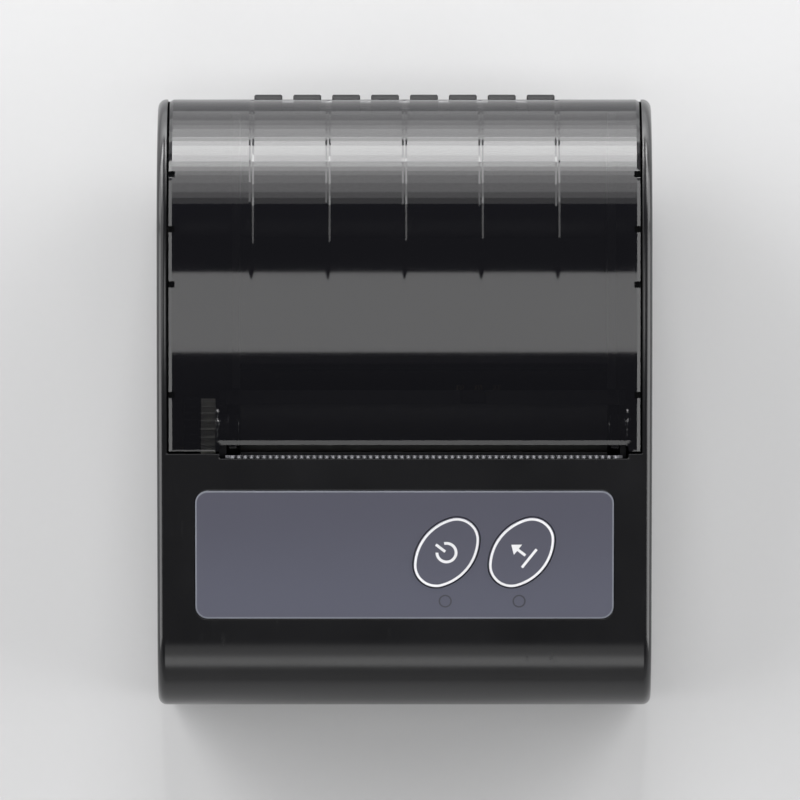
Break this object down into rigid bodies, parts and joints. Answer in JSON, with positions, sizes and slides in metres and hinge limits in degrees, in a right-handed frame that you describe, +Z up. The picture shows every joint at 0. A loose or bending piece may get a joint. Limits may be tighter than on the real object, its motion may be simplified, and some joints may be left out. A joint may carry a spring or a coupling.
{
  "type": "portable thermal printer",
  "caption": "Pocket receipt printer lying on its back, with a hinged smoked paper cover, serrated tear bar, keypad panel and slide-off battery door.",
  "frame": {"origin": "centre of the footprint on the surface the printer lies on", "axes": "+X across the width, +Y towards the cover's hinge at the rear, +Z up through the cover"},
  "size_m": [0.079, 0.098, 0.044],
  "materials": {
    "black_case": "satin black moulding",
    "smoked_cover": "glossy smoked translucent moulding",
    "dark_insert": "fine matte moulding",
    "overlay_film": "glossy printed film",
    "key_cap": "glossy printed key cap",
    "lamp_clear": "clear light guide",
    "led_package": "white package",
    "circuit_board": "green solder mask",
    "chip_body": "moulded package",
    "shield_can": "tinned shield",
    "capacitor_can": "sleeved can",
    "switch_body": "moulded switch body",
    "plated_steel": "plated",
    "blade_steel": "bright rolled strip",
    "contact_brass": "gold flashed",
    "battery_wrap": "shrink wrap",
    "frame_plastic": "glass filled moulding",
    "motor_can": "drawn can",
    "head_alloy": "milled",
    "head_ceramic": "glazed ceramic",
    "bearing_resin": "natural acetal",
    "gear_resin": "natural acetal",
    "platen_rubber": "ground rubber",
    "sensor_body": "moulded sensor"
  },
  "bodies": {
    "housing": {"lower_case": "black_case", "upper_case": "black_case", "roll_bin": "dark_insert", "tear_bar": "blade_steel", "keypad_overlay": "overlay_film", "lamp_windows": "lamp_clear", "status_leds": "led_package", "main_board": "circuit_board", "board_chips": "chip_body", "radio_module": "shield_can", "bulk_capacitors": "capacitor_can", "usb_socket": "plated_steel", "tactile_switches": "switch_body", "battery_pack": "battery_wrap", "battery_contacts": "contact_brass", "hinge_pin": "plated_steel", "mechanism_frame": "frame_plastic", "paper_sensor": "sensor_body", "stepper_motor": "motor_can", "reduction_axle": "plated_steel", "head_pivot_rod": "plated_steel", "head_springs": "blade_steel"},
    "cover": {"paper_cover": "smoked_cover", "platen_bearings": "bearing_resin"},
    "platen": {"platen_shaft": "plated_steel", "platen_rubber": "platen_rubber", "platen_gear": "gear_resin"},
    "reduction": {"reduction_gear": "gear_resin"},
    "rotor": {"motor_shaft": "plated_steel", "motor_pinion": "contact_brass"},
    "print_head": {"head_carrier": "head_alloy", "head_ceramic": "head_ceramic"},
    "power_button": {"power_key": "key_cap", "power_plunger": "switch_body"},
    "feed_button": {"feed_key": "key_cap", "feed_plunger": "switch_body"},
    "battery_lid": {"battery_door": "black_case"}
  },
  "joints": [
    {"name": "cover_hinge", "type": "hinge", "parent": "housing", "child": "cover", "pos_m": [0, 0.0474, 0.02], "axis": [-1, 0, 0], "range_deg": [0, 100]},
    {"name": "platen_spin", "type": "hinge", "parent": "cover", "child": "platen", "pos_m": [0, -0.0046, 0.03327], "axis": [1, 0, 0], "continuous": true},
    {"name": "reduction_spin", "type": "hinge", "parent": "housing", "child": "reduction", "pos_m": [-0.0325, -0.00639, 0.02627], "axis": [1, 0, 0], "continuous": true},
    {"name": "motor_spin", "type": "hinge", "parent": "housing", "child": "rotor", "pos_m": [-0.0352, -0.01035, 0.01882], "axis": [1, 0, 0], "continuous": true},
    {"name": "head_pivot", "type": "hinge", "parent": "housing", "child": "print_head", "pos_m": [0, -0.01, 0.02727], "axis": [1, 0, 0], "range_deg": [0, 4], "stiffness_Nm_per_rad": 0.05, "springref_deg": -5.73, "deforming": ["head_springs"]},
    {"name": "power_press", "type": "slide", "parent": "housing", "child": "power_button", "axis": [0, 0.2163, -0.9763], "range_m": [0, 0.00025], "stiffness_N_per_m": 250},
    {"name": "feed_press", "type": "slide", "parent": "housing", "child": "feed_button", "axis": [0, 0.2163, -0.9763], "range_m": [0, 0.00025], "stiffness_N_per_m": 250},
    {"name": "door_slide", "type": "slide", "parent": "housing", "child": "battery_lid", "axis": [0, -1, 0], "range_m": [0, 0.0468]}
  ],
  "couplings": [
    {"joint": "reduction_spin", "follows": "platen_spin", "ratio": -1.5714},
    {"joint": "motor_spin", "follows": "platen_spin", "ratio": 5.0286}
  ]
}
